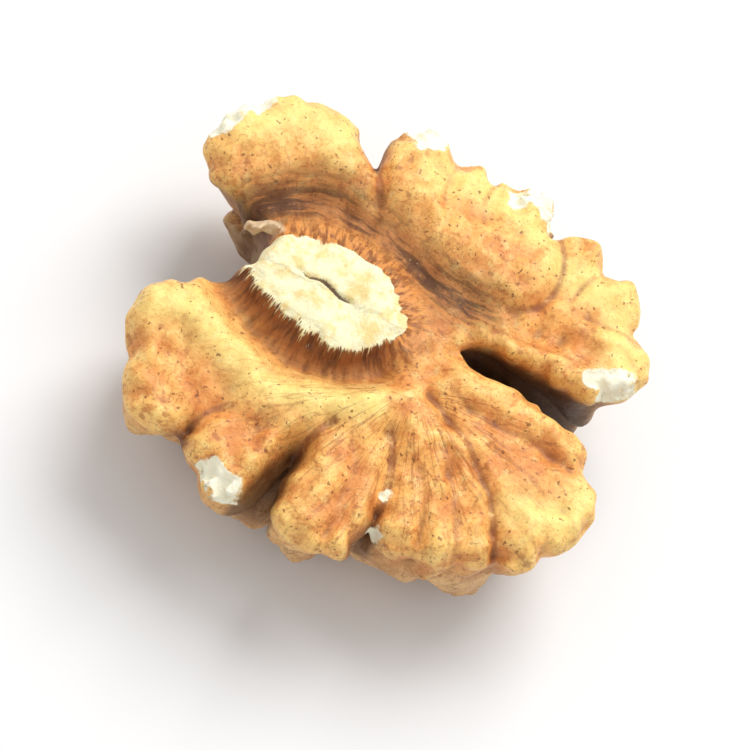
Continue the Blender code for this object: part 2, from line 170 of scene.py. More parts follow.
# %% Lobes and clefts
Lobe = namedtuple("Lobe", "wing x y radius drop")
LOBES = (
    Lobe("far", -7.7, 6.4, 3.3, 0.3),
    Lobe("far", -6.4, 7.9, 2.9, 0.3),
    Lobe("far", -4.8, 8.2, 3.0, 0.4),
    Lobe("far", 1.7, 11.2, 1.75, 0.6),
    Lobe("far", 5.2, 10.9, 1.4, 0.8),
    Lobe("far", 7.8, 11.0, 1.35, 0.7),
    Lobe("far", 9.4, 10.7, 2.0, 0.6),
    Lobe("far", 14.1, 9.8, 1.5, 0.8),
    Lobe("far", 17.0, 8.1, 1.95, 0.7),
    Lobe("far", 18.7, 4.7, 2.4, 0.5),
    Lobe("near", 18.6, -2.3, 1.5, 0.8),
    Lobe("near", 19.3, -5.1, 2.75, 0.6),
    Lobe("near", 18.7, -8.1, 1.5, 0.8),
    Lobe("near", 16.2, -9.3, 1.4, 0.9),
    Lobe("near", 14.2, -10.3, 1.4, 0.8),
    Lobe("near", 11.6, -10.5, 1.6, 0.9),
    Lobe("near", 8.3, -12.4, 1.6, 1.0),
    Lobe("near", 6.0, -11.7, 2.75, 0.6),
    Lobe("near", 0.3, -12.4, 1.8, 1.0),
    Lobe("near", -1.4, -10.6, 2.2, 1.2),
    Lobe("near", -5.6, -9.2, 2.9, 1.7),
    Lobe("near", -6.9, -6.1, 3.1, 0.5),
)
LOBE_BLEND = 0.4
RIM_PUSH = 0.55
INNER_CORNERS = {
    "far": ((17.5, -1.0), (-5.0, -2.0)),
    "near": ((-5.0, 3.0), (17.5, 2.0)),
}
SPINES = {
    "far": np.array([[-5.4, 6.0], [15.6, 5.4]]),
    "near": np.array([[-4.6, -6.6], [15.8, -5.8]]),
}
SPINE_ENDS = 0.04
SLOT_ROUTE = ((9.9, 0.9), (11.6, 1.2), (14.0, 1.15), (17.0, 0.95), (20.5, 0.6), (23.5, 0.4))
SLOT_HALF_WIDTH = (0.6, 0.95, 0.95, 1.1, 1.3, 1.5)
NOTCH_ROUTE = ((-13.0, 0.4), (-9.0, 0.6), (-6.6, 0.5), (-5.6, 1.9))
NOTCH_HALF_WIDTH = (3.6, 2.9, 2.2, 1.0)
ROUTE_SPACING = 0.25
# Where two lobes stand apart at the rim: the gap's route in plan and its half widths
Gap = namedtuple("Gap", "route half_widths")
GAPS = (
    Gap(((-2.2, 12.8), (-1.5, 11.0), (-0.8, 9.8), (-0.4, 9.1)), (1.9, 1.2, 0.4, 0.1)),
    Gap(((2.5, -15.0), (2.9, -13.0), (3.0, -11.4), (3.5, -9.6)), (1.3, 0.95, 0.6, 0.25)),
    Gap(((12.9, 12.0), (12.1, 11.0), (11.6, 10.3)), (0.7, 0.35, 0.05)),
    Gap(((9.9, -13.0), (9.85, -11.8), (9.8, -10.8)), (0.8, 0.35, 0.05)),
    Gap(((-4.4, -13.6), (-3.7, -12.4), (-3.2, -11.4)), (0.8, 0.4, 0.05)),
)
print("the rim has", len(LOBES), "lobes")

# %% Distances in plan


def segment_distance(x, y, start, end):
    """Distance in plan to a straight stretch, and how far along it the nearest place is, from
    0 to 1."""
    along_x, along_y = end[0] - start[0], end[1] - start[1]
    share = ((x - start[0]) * along_x + (y - start[1]) * along_y) / (along_x**2 + along_y**2)
    share = np.clip(share, 0, 1)
    return np.hypot(x - start[0] - share * along_x, y - start[1] - share * along_y), share


def polygon_distance(x, y, corners):
    """Distance in plan to a polygon's edge, negative inside. A point is inside when a line
    from it to the right crosses an odd number of edges."""
    nearest = np.full(x.shape, np.inf)
    inside = np.zeros(x.shape, bool)
    for start, end in zip(corners, np.roll(corners, -1, axis=0)):
        nearest = np.minimum(nearest, segment_distance(x, y, start, end)[0])
        if start[1] != end[1]:
            edge_x = start[0] + (y - start[1]) * (end[0] - start[0]) / (end[1] - start[1])
            inside ^= ((start[1] > y) != (end[1] > y)) & (x < edge_x)
    return np.where(inside, -nearest, nearest)


def route_distance(x, y, route, half_widths=None):
    """Distance in plan to a smooth curve, or to a band along it whose half width is given at
    each of the route's points."""
    widths = np.zeros(len(route)) if half_widths is None else np.array(half_widths)
    curve = spline(np.column_stack([route, widths]), ROUTE_SPACING)
    nearest = np.full(x.shape, np.inf)
    for start, end in zip(curve, curve[1:]):
        away, share = segment_distance(x, y, start, end)
        nearest = np.minimum(nearest, away - start[2] - share * (end[2] - start[2]))
    return nearest


def pushed_out(lobe):
    """A corner of the wing's plate: the lobe's centre, moved on from the wing's middle line by
    a share of the lobe's radius."""
    start, end = SPINES[lobe.wing]
    along = end - start
    centre = np.array([lobe.x, lobe.y])
    share = np.clip((centre - start) @ along / (along @ along), SPINE_ENDS, 1 - SPINE_ENDS)
    way = centre - start - along * share
    return centre + way * RIM_PUSH * lobe.radius / np.linalg.norm(way)


def rim_distance(x, y):
    """Distance in plan to the rim: the discs and the plates of both wings, less the gaps."""
    distance = np.full(x.shape, np.inf)
    for wing, inner in INNER_CORNERS.items():
        outer = [pushed_out(lobe) for lobe in LOBES if lobe.wing == wing]
        distance = np.minimum(distance, polygon_distance(x, y, np.array([*outer, *inner])))
    for lobe in LOBES:
        disc = np.hypot(x - lobe.x, y - lobe.y) - lobe.radius
        distance = blended(distance, disc, LOBE_BLEND)
    for gap in GAPS:
        distance = -blended(-distance, route_distance(x, y, *gap), LOBE_BLEND)
    return distance


rim = rim_distance(plan_x, plan_y)
slot = route_distance(plan_x, plan_y, SLOT_ROUTE, SLOT_HALF_WIDTH)
notch = route_distance(plan_x, plan_y, NOTCH_ROUTE, NOTCH_HALF_WIDTH)
outline = -blended(-rim, slot, LOBE_BLEND)
outline = -blended(-outline, notch, LOBE_BLEND)
print("the inner face covers", round(float((outline < 0).sum()) * CELL**2), "mm2")

# %% [markdown]
# ## The relief of the inner face
#
# The broken neck stands in the middle like a torn stump. Its top is a lens of flesh with a
# ragged edge and a slit. On the near side it drops into a dark moat. On the far side and at the
# slot's end its flank slopes gently down to a valley. Outside these the wings are soft cushions
# with furrows between the lobes. All of this is one height for each place in plan.

# %% The neck's outline
NECK_MIDDLE = (0.9, -0.25)
NECK_LEFT = 6.6
NECK_RIGHT = 5.0
NECK_HALF_WIDTH = 3.05
NECK_POWERS = (1.45, 2.3)
NECK_ROUNDING = 0.75
NECK_POINTS = 24
TORN = 0.12
TORN_WAVES = ((3.6, 3, 1.0), (1.5, 4, 1.0), (0.7, 14, 0.5))


def neck_outline():
    """The neck's edge in plan: a lens, sharper at its left end. Its half width is the widest
    one times (1 - share ** power) ** NECK_ROUNDING, where share runs from 0 at the widest
    place to 1 at each end."""
    share = np.sin(np.linspace(0, np.pi / 2, NECK_POINTS))
    left, right = (NECK_HALF_WIDTH * (1 - share**power) ** NECK_ROUNDING for power in NECK_POWERS)
    upper_x = np.concatenate([-share[::-1] * NECK_LEFT, share[1:] * NECK_RIGHT])
    upper_y = np.concatenate([left[::-1], right[1:]])
    x = np.concatenate([upper_x, upper_x[-2:0:-1]]) + NECK_MIDDLE[0]
    y = np.concatenate([upper_y, -upper_y[-2:0:-1]]) + NECK_MIDDLE[1]
    return np.column_stack([x, y])


def torn_distance(x, y):
    """Distance outside the neck's torn edge, which wanders round the smooth one."""
    smooth = polygon_distance(x, y, neck_outline())
    return smooth + TORN * ripples((x, y), TORN_WAVES)


neck = polygon_distance(plan_x, plan_y, neck_outline())
print("the neck's top covers", round(float((neck < 0).sum()) * CELL**2, 1), "mm2")

# %% Furrows and ridges
# A furrow's depth or a ridge's height, its half width and its route in plan
Line = namedtuple("Line", "height half_width route")
VALLEY = ((-6.0, 3.2), (-2.8, 5.2), (0.6, 5.3), (4.2, 4.4), (8.6, 3.6), (12.2, 3.9), (14.5, 4.6))
CUSHION = ((-8.6, -5.4), (-6.2, -5.2), (-3.4, -6.2), (-0.4, -7.2), (3.0, -6.6), (6.0, -5.4))
FURROWS = (
    Line(1.15, 1.25, VALLEY),
    Line(0.45, 0.45, ((12.0, 10.6), (13.1, 9.0), (13.4, 7.0), (12.9, 5.6), (11.2, 4.6))),
    Line(0.80, 0.60, ((-1.0, 10.8), (-0.6, 9.2), (0.3, 7.8), (0.9, 7.0))),
    Line(0.25, 0.50, ((4.2, 12.0), (4.0, 10.2), (4.4, 8.6))),
    Line(0.30, 0.50, ((7.0, 12.0), (6.7, 10.2), (7.3, 8.6))),
    Line(0.35, 0.50, ((15.9, 10.2), (15.0, 8.4), (14.6, 6.8))),
    Line(0.30, 0.55, ((19.8, 6.9), (17.8, 6.4), (15.8, 6.3))),
    Line(0.30, 0.60, ((11.0, 2.9), (14.0, 3.2), (17.4, 3.4))),
    Line(0.55, 0.40, ((17.6, -9.6), (15.6, -6.9), (13.4, -5.1), (11.4, -3.9), (9.2, -2.9))),
    Line(0.35, 0.45, ((19.4, -2.9), (16.6, -2.5), (14.2, -2.7), (12.2, -2.6), (10.2, -2.0))),
    Line(0.30, 0.45, ((15.3, -11.0), (13.6, -8.0), (11.6, -5.6))),
    Line(0.28, 0.45, ((12.9, -11.8), (12.3, -9.4), (10.9, -7.0))),
    Line(0.75, 0.55, ((9.9, -11.6), (9.7, -9.6), (9.2, -7.9), (8.2, -6.2))),
    Line(2.60, 0.62, ((2.5, -13.4), (2.9, -11.2), (3.4, -9.5))),
    Line(0.80, 0.80, ((3.2, -10.0), (3.9, -8.4), (4.6, -7.2))),
    Line(0.45, 0.70, ((-3.6, -12.6), (-3.2, -11.0), (-2.5, -9.8), (-1.6, -9.0))),
    Line(0.25, 0.60, ((7.3, -14.6), (7.4, -12.4), (7.0, -10.4))),
)
RIDGES = (
    Line(0.75, 1.50, CUSHION),
    Line(0.35, 0.90, ((10.4, -1.3), (13.0, -1.4), (16.2, -1.6), (19.0, -2.0))),
    Line(0.45, 0.80, ((10.2, 2.6), (13.0, 2.95), (16.6, 2.9), (19.8, 3.4))),
    Line(0.45, 1.40, ((-8.8, 6.6), (-5.6, 8.2), (-3.2, 8.6))),
    Line(0.45, 1.60, ((2.0, 8.6), (5.4, 7.8), (8.8, 7.4), (11.4, 7.2))),
    Line(0.30, 0.90, ((14.6, 5.6), (17.2, 5.4), (19.4, 5.0))),
    Line(0.35, 1.00, ((4.8, -8.2), (6.0, -10.6), (6.2, -12.6))),
    Line(0.30, 0.90, ((9.2, -5.4), (12.2, -7.4), (13.8, -9.6))),
    Line(0.30, 1.00, ((12.4, -4.6), (15.8, -6.0), (18.6, -6.6))),
)


def height_of_lines(x, y, lines):
    """The sum of the lines' bells over the plan."""
    return sum(e.height * bell(route_distance(x, y, e.route), e.half_width) for e in lines)


def softened(height, reach):
    """The height spread over a reach in plan. Each round averages it with its neighbours and
    spreads it by the root of half a cell."""
    rounds = round(2 * (reach / CELL) ** 2)
    for _ in range(rounds):
        for axis in (0, 1):
            height = (np.roll(height, 1, axis) + 2 * height + np.roll(height, -1, axis)) / 4
    return height


land = height_of_lines(plan_x, plan_y, RIDGES) - height_of_lines(plan_x, plan_y, FURROWS)
print("furrows and ridges run from", round(land.min(), 2), "to", round(land.max(), 2), "mm")

# %% Droop of the rim
# A lobe's droop is felt out to a reach in plan. It weakens where the lobes' weights add up to
# less than the faintest one.
DROOP_BY_RADIUS = 1.2
DROOP_REACH = 1.2
DROOP_FAINTEST = 0.35


def lobe_droop(x, y):
    """How far the face droops: the lobes' own, weighted by how near each is."""
    reaches = [DROOP_BY_RADIUS * e.radius + DROOP_REACH for e in LOBES]
    nearness = [bell(np.hypot(x - e.x, y - e.y), reach) for e, reach in zip(LOBES, reaches)]
    total = sum(near * e.drop for near, e in zip(nearness, LOBES))
    return total / (sum(nearness) + DROOP_FAINTEST)


droop = lobe_droop(plan_x, plan_y)
print("the rim droops by up to", round(droop[outline < 0].max(), 2), "mm")

# %% Fans and fibres
# The skin is drawn tight in two places: it fans out over the near wing from the slot's root, and
# it is pulled into fibres all round the neck. Both are waves that change only across the fan
# or along the neck's edge.
FAN_ROOT = (8.2, -3.1)
FAN_RADIUS = 8.0
NEAR_ROOT = 0.01
FAN_START = (1.2, 4.0)
FAN_SIDE = (1.2, 3.4)
FAN_REACH = 14.0
FAN_RELIEF = 0.035
FAN_WAVES = ((2.2, 21, 1.0), (1.1, 22, 0.6))
FIBRES_OUT = 0.9
FIBRES_WIDTH = 1.1
FIBRE_RELIEF = 0.035
FIBRE_WAVES = ((0.8, 24, 1.0), (0.42, 25, 0.7))


def fan_place(x, y):
    """A place on a circle round the fan's root in the same direction, and the distance."""
    away_x, away_y = x - FAN_ROOT[0], y - FAN_ROOT[1]
    away = np.hypot(away_x, away_y) + NEAR_ROOT
    return away_x / away * FAN_RADIUS, away_y / away * FAN_RADIUS, away


def nearest_edge(x, y, corners):
    """The nearest place on a polygon's edge."""
    nearest = np.full(x.shape, np.inf)
    edge_x, edge_y = np.zeros(x.shape), np.zeros(x.shape)
    for start, end in zip(corners, np.roll(corners, -1, axis=0)):
        away, share = segment_distance(x, y, start, end)
        closer = away < nearest
        nearest = np.where(closer, away, nearest)
        edge_x = np.where(closer, start[0] + share * (end[0] - start[0]), edge_x)
        edge_y = np.where(closer, start[1] + share * (end[1] - start[1]), edge_y)
    return edge_x, edge_y


fan_x, fan_y, fan_away = fan_place(plan_x, plan_y)
on_fan = smooth_step(fan_away, *FAN_START) * smooth_step(-plan_y, *FAN_SIDE) * bell(fan_away, FAN_REACH)
fan = FAN_RELIEF * on_fan * ripples((fan_x, fan_y), FAN_WAVES)
edge = nearest_edge(plan_x, plan_y, neck_outline())
fibres = FIBRE_RELIEF * bell(neck - FIBRES_OUT, FIBRES_WIDTH) * ripples(edge, FIBRE_WAVES)
print("the fan's and the fibres' relief reach", round(fan.max(), 2), "and", round(fibres.max(), 2), "mm")

# %% One height for each place
# The line that parts the neck's near side from its far side and its right end curves towards
# the near wing.
PARTING_START = 3.0
PARTING_CURVE = 0.34
PARTING_POWER = 1.25
PARTING_FADE = (-1.3, 0.9)
NECK_TOP = 0.28
NECK_EDGE_DROP = 0.25
NECK_EDGE_WIDTH = 0.5
NECK_CLIFF = 0.35
CROWN_WAVES = ((3.4, 8, 0.07), (1.1, 9, 0.035))
MOAT_DEPTH = 1.75
MOAT_OUT = 1.15
MOAT_WIDTH = 1.3
FLANK_TOP = 0.10
FLANK_SLOPE = 0.30
FLANK_REACH = 3.2
LAND_START = (0.2, 2.6)
SOFTENING = 0.25
SLIT = ((-1.9, 0.15), (-1.0, 0.0), (0.1, 0.06), (1.0, -0.2), (2.2, -0.2))
SLIT_WIDTH = 0.14
SLIT_DEPTH = 0.35
WRINKLES = ((3.2, 31, 0.09), (1.5, 32, 0.06))


def far_side(x, y):
    """0 beside the neck's near edge, 1 beside its far edge and right end."""
    parting = NECK_MIDDLE[1] - PARTING_CURVE * np.maximum(x - PARTING_START, 0) ** PARTING_POWER
    return smooth_step(y - parting, *PARTING_FADE)


far = far_side(plan_x, plan_y)
torn = torn_distance(plan_x, plan_y)
outside = smooth_step(torn, 0.0, NECK_CLIFF)
moat = MOAT_DEPTH * bell(neck - MOAT_OUT, MOAT_WIDTH) * (1 - far)
flank = (FLANK_TOP + FLANK_SLOPE * np.clip(neck, 0, FLANK_REACH)) * far * bell(neck, FLANK_REACH)
land = softened((land - droop) * smooth_step(neck, *LAND_START), SOFTENING) - moat - flank
land += (ripples((plan_x, plan_y), WRINKLES) + fan) * smooth_step(neck, *LAND_START) + fibres
crown = NECK_TOP - NECK_EDGE_DROP * bell(torn, NECK_EDGE_WIDTH)
crown += ripples((plan_x, plan_y), CROWN_WAVES)
crown -= SLIT_DEPTH * bell(route_distance(plan_x, plan_y, SLIT), SLIT_WIDTH)
relief = crown * (1 - outside) + land * outside
print("the relief runs from", round(relief[outline < 0].min(), 2), "to", round(relief.max(), 2), "mm")

# %% [markdown]
# ## The body below the face
#
# Under the inner face hangs the folded outer side. Each rim lobe turns down at the rim and runs
# on down the wall. Slow bends keep these folds from lying straight, and the relief lifts and
# lowers whatever lies near the inner face.

# %% Bent space
WANDER = 0.5
WANDER_LENGTH = 9.0
WANDER_SEEDS = (11, 12, 13)
WANDER_FADE = (-2.6, -6.0)
RELIEF_FADE = (-6.5, -2.6)

x, y, z = np.meshgrid(*(axis.astype(np.float32) for axis in axes), indexing="ij")
fade = WANDER * smooth_step(z, *WANDER_FADE)
shift = [waves((x, y, z), WANDER_LENGTH, seed) * fade for seed in WANDER_SEEDS]
lift = relief[:, :, None].astype(np.float32) * smooth_step(z, *RELIEF_FADE)
x, y, z = x - shift[0], y - shift[1], z - shift[2] - lift
del shift, lift
print("places below the face are bent by up to", round(float(fade.max()) * 2, 1), "mm")

# %% The plate of the inner face
# The plate is a slab with a round edge: the distance to its middle sheet, less the radius. Its
# edge is a little uneven.
EDGE_RADIUS = 1.25
FACE_LEVEL = -0.15
UNEVEN = ((3.0, 41, 0.12), (1.5, 42, 0.08))

uneven = ripples((plan_x, plan_y), UNEVEN)
beyond = np.maximum(outline + uneven + EDGE_RADIUS, 0)[:, :, None].astype(np.float32)
plate = np.hypot(beyond, z - FACE_LEVEL + EDGE_RADIUS) - EDGE_RADIUS
print("the plate holds", int((plate < 0).sum() * CELL**3), "mm3")

# %% The core
# The core hangs below the plate. Its level at each depth is the rim's outline, shrunk towards
# the middle, so every lobe runs on down the wall as a fold. Further down the outline is
# smoother. The two clefts are cut down into the core.
MIDDLE = np.array([5.3, -0.85])
DEPTH = 12.6
SQUARENESS = {"far": 2.4, "near": 3.8}
SIDES_BLEND = 3
LEAST_SHARE = 0.3
LOBES_FADE = (0.25, 0.65)
RIM_SOFTENING = 1.5
CORE_TOP = -1.6
CORE_BLEND = 0.6
FLOOR_BLEND = 2.5
CLEFT_TAPER = 0.06
CLEFT_BLEND = 1.6


def sampled(height, x, y):
    """A height over the plan, read straight between its cells at any places."""
    column = np.clip((x - SPACE_LOW[0]) / CELL, 0, height.shape[0] - 1)
    row = np.clip((y - SPACE_LOW[1]) / CELL, 0, height.shape[1] - 1)
    i = np.minimum(column.astype(int), height.shape[0] - 2)
    j = np.minimum(row.astype(int), height.shape[1] - 2)
    u, v = column - i, row - j
    before = height[i, j] * (1 - u) + height[i + 1, j] * u
    after = height[i, j + 1] * (1 - u) + height[i + 1, j + 1] * u
    return before * (1 - v) + after * v


def core_distance(x, y, z):
    """About the distance to the core's wall. The outline's share of its full size at a depth
    is (1 - (depth / DEPTH) ** power) ** (1 / power), and the near side has the larger power,
    which makes its wall steeper."""
    near = smooth_step(y, MIDDLE[1] + SIDES_BLEND, MIDDLE[1] - SIDES_BLEND)
    power = SQUARENESS["far"] + (SQUARENESS["near"] - SQUARENESS["far"]) * near
    deep = np.clip(-z / DEPTH, 0, 1)
    share = np.maximum((1 - deep**power) ** (1 / power), LEAST_SHARE)
    full_x, full_y = MIDDLE[0] + (x - MIDDLE[0]) / share, MIDDLE[1] + (y - MIDDLE[1]) / share
    lobed, smooth = (sampled(edge, full_x, full_y) for edge in (rim, softened(rim, RIM_SOFTENING)))
    away = lobed + (smooth - lobed) * smooth_step(deep, *LOBES_FADE)
    return -blended(-away * share, z + DEPTH, FLOOR_BLEND)


cleft = np.minimum(slot, notch)[:, :, None] - CLEFT_TAPER * z
core = np.maximum(core_distance(x, y, z), z - CORE_TOP)
core = -blended(-core, cleft, CLEFT_BLEND)
field = blended(plate, core, CORE_BLEND).astype(np.float32)
del cleft, core, plate
print("the whole holds", int((field < 0).sum() * CELL**3), "mm3")

# %% [markdown]
# ## Furrows between the folds
#
# The folds of a kernel branch and bend like those of a brain. Plane waves added together give a
# smooth random field, and the lines where it is zero wander over the skin just like that. The
# field's value over its slope is about the distance to such a line, so a furrow of even width
# can be cut along it.

# %% Furrows of the outer side
# Each set of furrows: its length of wave, its seed, its rolls' half width and its depth
FURROW_SETS = ((8.0, 23, 1.8, 1.7), (4.2, 6, 0.9, 0.28))
SULCUS_FLOOR = 0.14
SULCUS_FADE = (-2.2, -5.5)
GLOBE_RADIUS = 13.0
LONGER = 1.2
NEAR_POLE = 0.01
LEAST_SLOPE = 0.6
SKIN_BAND = 2.4
SKIN_WRINKLES = ((2.6, 33, 0.05), (1.2, 34, 0.03))


def unrolled(x, y, z):
    """The outer side laid out flat round its lowest point, as a globe is on a map of a pole:
    the direction in plan is kept, and the distance is the angle from straight down times a
    radius."""
    across, along = y - MIDDLE[1], (x - MIDDLE[0]) / LONGER
    out = np.hypot(along, across) + NEAR_POLE
    stretch = GLOBE_RADIUS * np.arctan2(out, -z) / out
    return along * stretch, across * stretch


def furrow_depth(flat_map, length, seed, half_width, depth):
    """Depth of furrows along the lines where a field of waves is zero. A roll's back is an
    arc, so the skin drops along a quarter of a circle towards the furrow."""
    slope = np.hypot(*slope_of_waves(flat_map, length, seed))
    away = np.hypot(waves(flat_map, length, seed) / (slope + SULCUS_FLOOR / 2), SULCUS_FLOOR)
    share = 1 - np.minimum(away, half_width) / half_width
    return depth * (1 - np.sqrt(1 - share * share))


# Blends and bends leave the field steeper in some places than in others. Divided by its own
# slope, it is a true distance near the skin, so the furrows come out equally deep everywhere.
steepness = np.sqrt(sum(rise**2 for rise in np.gradient(field, CELL)))
field = np.clip(field / np.maximum(steepness, LEAST_SLOPE), -FAR_AWAY, FAR_AWAY)
near_skin = np.abs(field) < SKIN_BAND
skin_cells = [axis[near_skin] for axis in (x, y, z)]
flat_map = unrolled(*skin_cells)
below_face = smooth_step(skin_cells[2], *SULCUS_FADE)
carved = sum(furrow_depth(flat_map, *furrow_set) for furrow_set in FURROW_SETS) * below_face
carved += ripples(skin_cells, SKIN_WRINKLES) * below_face
field[near_skin] += carved
print("furrows are cut up to", round(float(carved.max()), 1), "mm deep")

# %% A flake in the notch
# A torn flake of the wall that once parted the two halves still stands in the notch.
FLAKE_ROUTE = ((-5.9, 1.5), (-5.2, 2.0), (-4.4, 2.2))
FLAKE_LEVEL = -0.35
FLAKE_RADIUS = 0.34
FLAKE_STRETCH = 1.6
FLAKE_WAVES = ((0.9, 54, 0.10),)
FLAKE_BLEND = 0.25


def flake_distance(x, y, z):
    """Distance to the flake: a bent rod with a rough surface, stretched upwards."""
    upwards = (z - FLAKE_LEVEL) / FLAKE_STRETCH
    rough = ripples((x, y, z), FLAKE_WAVES)
    return np.hypot(route_distance(x, y, FLAKE_ROUTE), upwards) - FLAKE_RADIUS + rough


field[near_skin] = blended(field[near_skin], flake_distance(*skin_cells), FLAKE_BLEND)
print("the flake is about", round(2 * FLAKE_RADIUS, 1), "mm thick")

# %% Chips of the rim
# Where the rim was knocked, a bit of skin and flesh broke off: the route of each chip in plan
# and its half width. A chip reaches from the top of the rim down to a level.
Chip = namedtuple("Chip", "half_width route")
CHIPS = (
    Chip(0.80, ((-10.9, 6.3), (-10.2, 8.2), (-9.0, 9.7))),
    Chip(0.90, ((1.0, 12.4), (1.9, 12.2))),
    Chip(0.65, ((8.4, 11.6), (9.8, 12.1), (11.3, 11.4))),
    Chip(0.80, ((18.5, 2.9), (19.9, 3.3))),
    Chip(0.65, ((-0.9, -13.1), (0.0, -13.7), (0.8, -13.6))),
    Chip(0.10, ((9.5, -9.6), (9.7, -9.4))),
    Chip(0.15, ((9.9, -11.6), (10.1, -11.9))),
)
CHIP_LEVELS = (1.6, 3.4)
CHIP_END = 2
CHIP_DEPTH = 0.28
CHIP_LIP = (-0.1, 0.3)
CHIP_EDGE_WAVES = ((1.7, 51, 0.16), (0.7, 52, 0.08))
CHIP_FLOOR_WAVES = ((1.0, 53, 0.5),)


def chip_distance(x, y, z):
    """Distance outside the nearest chip, in plan, and more below the chips' levels."""
    away = np.min([route_distance(x, y, chip.route) - chip.half_width for chip in CHIPS], axis=0)
    return away + ripples((x, y, z), CHIP_EDGE_WAVES) + CHIP_END * smooth_step(-z, *CHIP_LEVELS)


chipped = smooth_step(-chip_distance(*skin_cells), *CHIP_LIP)
chips = CHIP_DEPTH * chipped * (1 + ripples(skin_cells, CHIP_FLOOR_WAVES))
field[near_skin] += chips
print("chips are up to", round(float(chips.max()), 2), "mm deep")

# %% [markdown]
# ## One skin
#
# The skin is drawn through the cells where the field changes sign. It is then set in the place
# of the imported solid: its lowest folds are pressed together, it is fitted to the kernel's box,
# and the flat spots that it rests on are cut level.

# %% Draw the skin


def largest_part(points, quads):
    """Leaves out pockets that the skin sealed inside the flesh: each point takes the least
    number in its part, passed along the edges until nothing changes."""
    edges = np.vstack([quads[:, [0, 1]], quads[:, [1, 2]], quads[:, [2, 3]], quads[:, [3, 0]]])
    label = np.arange(len(points))
    while True:
        least = np.minimum(label[edges[:, 0]], label[edges[:, 1]])
        after = label.copy()
        np.minimum.at(after, edges[:, 0], least)
        np.minimum.at(after, edges[:, 1], least)
        after = after[after]
        if (after == label).all():
            break
        label = after
    keep = label == np.bincount(label).argmax()
    renumber = np.cumsum(keep) - 1
    return points[keep], renumber[quads[keep[quads[:, 0]]]]


grid = openvdb.FloatGrid(FAR_AWAY)
grid.copyFromArray(field.astype(np.float32))
points, _, quads = grid.convertToPolygons(isovalue=0.0, adaptivity=0.0)
points, quads = largest_part(points.astype(float), quads.astype(np.int64))
points = points * CELL + SPACE_LOW
print("the skin has", len(points), "points and", len(quads), "faces")

# %% Thin the mesh
# Blender's collapse thins the mesh most where the skin is nearly flat.
KEPT_FACES = 0.66


def thinned(points, faces, share):
    """The mesh after Blender's collapse, as points and triangles."""
    dense = bpy.data.meshes.new("dense")
    dense.from_pydata(points.tolist(), [], faces.tolist())
    clay = bpy.data.objects.new("clay", dense)
    bpy.context.scene.collection.objects.link(clay)
    collapse = clay.modifiers.new("collapse", "DECIMATE")
    collapse.ratio = share
    result = clay.evaluated_get(bpy.context.evaluated_depsgraph_get()).to_mesh()
    result.calc_loop_triangles()
    places = np.empty(3 * len(result.vertices))
    result.vertices.foreach_get("co", places)
    corners = np.empty(3 * len(result.loop_triangles), np.int64)
    result.loop_triangles.foreach_get("vertices", corners)
    bpy.data.objects.remove(clay)
    bpy.data.meshes.remove(dense)
    return places.reshape(-1, 3), corners.reshape(-1, 3)


points, triangles = thinned(points, quads, KEPT_FACES)
print("the thinned skin has", len(points), "points and", len(triangles), "triangles")

# %% Set in place
BASE = 1.6
BASE_SQUASH = 0.4
FLAT_SPOT = 0.25


def set_down(points):
    """The points in the kernel's own place, in metres. What is near the underside's lowest
    level is squashed, the whole is fitted to the kernel's box, and the lowest folds are cut
    level, so that the kernel rests on flat spots."""
    x, y, z = points.T
    over_base = z - z.min() - BASE
    squashed = np.column_stack([x, y, np.where(over_base < 0, over_base * BASE_SQUASH, over_base)])
    low, high = squashed.min(axis=0), squashed.max(axis=0)
    room_low, room_high = np.array(box_low), np.array(box_high)
    room_low[2] -= FLAT_SPOT * MM
    placed = (squashed - low) / (high - low) * (room_high - room_low) + room_low
    placed[:, 2] = np.maximum(placed[:, 2], box_low[2])
    return placed


placed = set_down(points)
mesh = bpy.data.meshes.new("kernel_skin")
mesh.from_pydata(placed.tolist(), [], triangles.tolist())
mesh.shade_smooth()
kernel = bpy.data.objects.new("kernel_skin", mesh)
bpy.context.scene.collection.objects.link(kernel)
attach(kernel, "root")
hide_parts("kernel")
print("the skin's box is", np.round((placed.max(axis=0) - placed.min(axis=0)) / MM, 2), "mm")

# %% [markdown]
# ## Where the skin changes
#
# The kernel's skin is a thin brown paper on pale flesh. Its colour follows its shape: painted
# highlights make it pale gold on the crests and the backs of the lobes, painted shade makes it brown
# in the furrows, hollows, gaps and clefts, it is dark in the moat beside the neck, and it is
# missing where the neck broke off and where the rim is chipped. These zones are worked out for
# each point of the mesh and kept in it, for the shader to read.

# %% Hollows and crests
# Hollowness sets the painted shade in furrows and hollows and the painted highlight on crests.
FINE_ROUNDS = 8
BROAD_ROUNDS = 120

edges = np.vstack([triangles[:, [0, 1]], triangles[:, [1, 2]], triangles[:, [2, 0]]])
neighbours = np.bincount(edges.ravel(), minlength=len(points))
normals = np.empty(3 * len(points))
mesh.vertex_normals.foreach_get("vector", normals)
normals = normals.reshape(-1, 3)


def smoothed(values, rounds):
    """The values averaged with those of each point's neighbours, a number of times over."""
    for _ in range(rounds):
        total = np.bincount(edges[:, 0], values[edges[:, 1]], len(points))
        total += np.bincount(edges[:, 1], values[edges[:, 0]], len(points))
        values = (values + total / neighbours) / 2
    return values


def hollowness(rounds):
    """How far each point lies below its neighbourhood's average, in millimetres."""
    spread = np.column_stack([smoothed(axis, rounds) for axis in points.T])
    return ((spread - points) * normals).sum(axis=1)


fine_hollow, broad_hollow = hollowness(FINE_ROUNDS), hollowness(BROAD_ROUNDS)
print("hollows are up to", round(fine_hollow.max(), 2), "and", round(broad_hollow.max(), 2), "mm deep")
